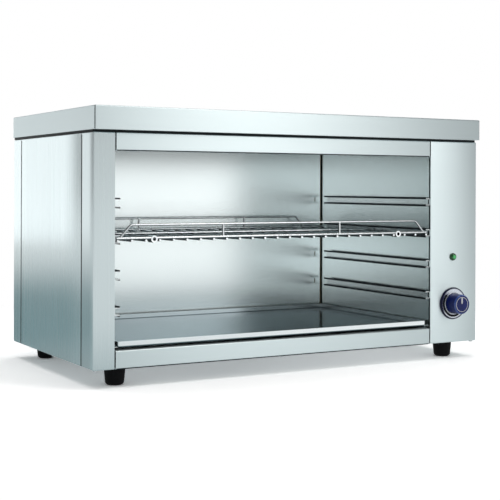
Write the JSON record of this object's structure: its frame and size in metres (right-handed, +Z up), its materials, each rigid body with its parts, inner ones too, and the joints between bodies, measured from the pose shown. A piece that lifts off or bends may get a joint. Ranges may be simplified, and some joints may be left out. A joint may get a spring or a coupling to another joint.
{
  "type": "cheese melter",
  "caption": "Open-fronted electric cheese melter in satin stainless steel: overhanging cap, sliding wire rack in folded runners, crumb tray and dial control.",
  "frame": {"origin": "on the floor, under the centre of the bounding box", "axes": "+X to the right along the longest side seen from the front, +Y to the rear, +Z up; the open front faces -Y"},
  "size_m": [0.8, 0.46, 0.4602],
  "materials": {
    "stainless": "satin brushed stainless steel",
    "stainless_liner": "bright stainless steel sheet",
    "runner_steel": "bright folded stainless steel",
    "tray_steel": "bright stainless steel sheet",
    "rack_wire": "bright plated wire",
    "element_sheath": "dark oxidised element sheath",
    "ceramic": "unglazed ceramic",
    "mineral_wool": "fibrous mineral wool slab",
    "zinc_steel": "zinc plated steel",
    "aluminium_ring": "satin aluminium",
    "knob_plastic": "navy moulded plastic",
    "regulator_case": "moulded thermoset",
    "lamp_case": "dark green moulded plastic",
    "lamp_lens": "green translucent lens",
    "nylon": "black nylon",
    "lead_sheath": "heat-resistant silicone sheath",
    "foot_rubber": "black rubber",
    "brass": "machined brass"
  },
  "bodies": {
    "cabinet": {"top_cover": "stainless", "front_left_post": "stainless", "control_fascia": "stainless", "header_panel": "stainless", "bottom_rail": "stainless", "left_side_panel": "stainless", "right_side_panel": "stainless", "back_panel": "stainless", "chamber_left_wall": "stainless_liner", "chamber_right_wall": "stainless_liner", "chamber_back_wall": "stainless_liner", "ceiling_reflector": "stainless_liner", "left_runner_1": "runner_steel", "right_runner_1": "runner_steel", "left_runner_2": "runner_steel", "right_runner_2": "runner_steel", "left_runner_3": "runner_steel", "right_runner_3": "runner_steel", "left_runner_4": "runner_steel", "right_runner_4": "runner_steel", "left_tray_ledge": "runner_steel", "right_tray_ledge": "runner_steel", "heating_element_1": "element_sheath", "heating_element_2": "element_sheath", "heating_element_3": "element_sheath", "element_bushes": "ceramic", "terminal_block": "ceramic", "insulation_top": "mineral_wool", "insulation_left": "mineral_wool", "insulation_right": "mineral_wool", "insulation_back": "mineral_wool", "base_plate": "zinc_steel", "base_screws": "zinc_steel", "cap_screws": "zinc_steel", "cap_spacers": "zinc_steel", "element_bracket_left": "zinc_steel", "element_bracket_right": "zinc_steel", "regulator_screws": "zinc_steel", "foot_screws": "zinc_steel", "foot_nuts": "zinc_steel", "indicator_nut": "zinc_steel", "dial_ring": "aluminium_ring", "regulator_body": "regulator_case", "indicator_body": "lamp_case", "indicator_lens": "lamp_lens", "cable_gland": "nylon", "gland_nut": "nylon", "internal_leads": "lead_sheath", "foot_front_left": "foot_rubber", "foot_front_right": "foot_rubber", "foot_rear_left": "foot_rubber", "foot_rear_right": "foot_rubber", "element_studs": "brass", "element_links": "brass"},
    "rack": {"rack_grid": "rack_wire", "rack_front_guard": "rack_wire", "rack_rear_guard": "rack_wire"},
    "tray": {"crumb_tray": "tray_steel"},
    "knob": {"control_knob": "knob_plastic", "regulator_shaft": "brass"}
  },
  "joints": [
    {"name": "knob_turn", "type": "hinge", "parent": "cabinet", "child": "knob", "pos_m": [0.3405, -0.201, 0.106], "axis": [0, 1, 0], "range_deg": [0, 270]},
    {"name": "rack_slide", "type": "slide", "parent": "cabinet", "child": "rack", "axis": [0, -1, 0], "range_m": [0, 0.3]},
    {"name": "tray_slide", "type": "slide", "parent": "cabinet", "child": "tray", "axis": [0, -1, 0], "range_m": [0, 0.3]}
  ]
}
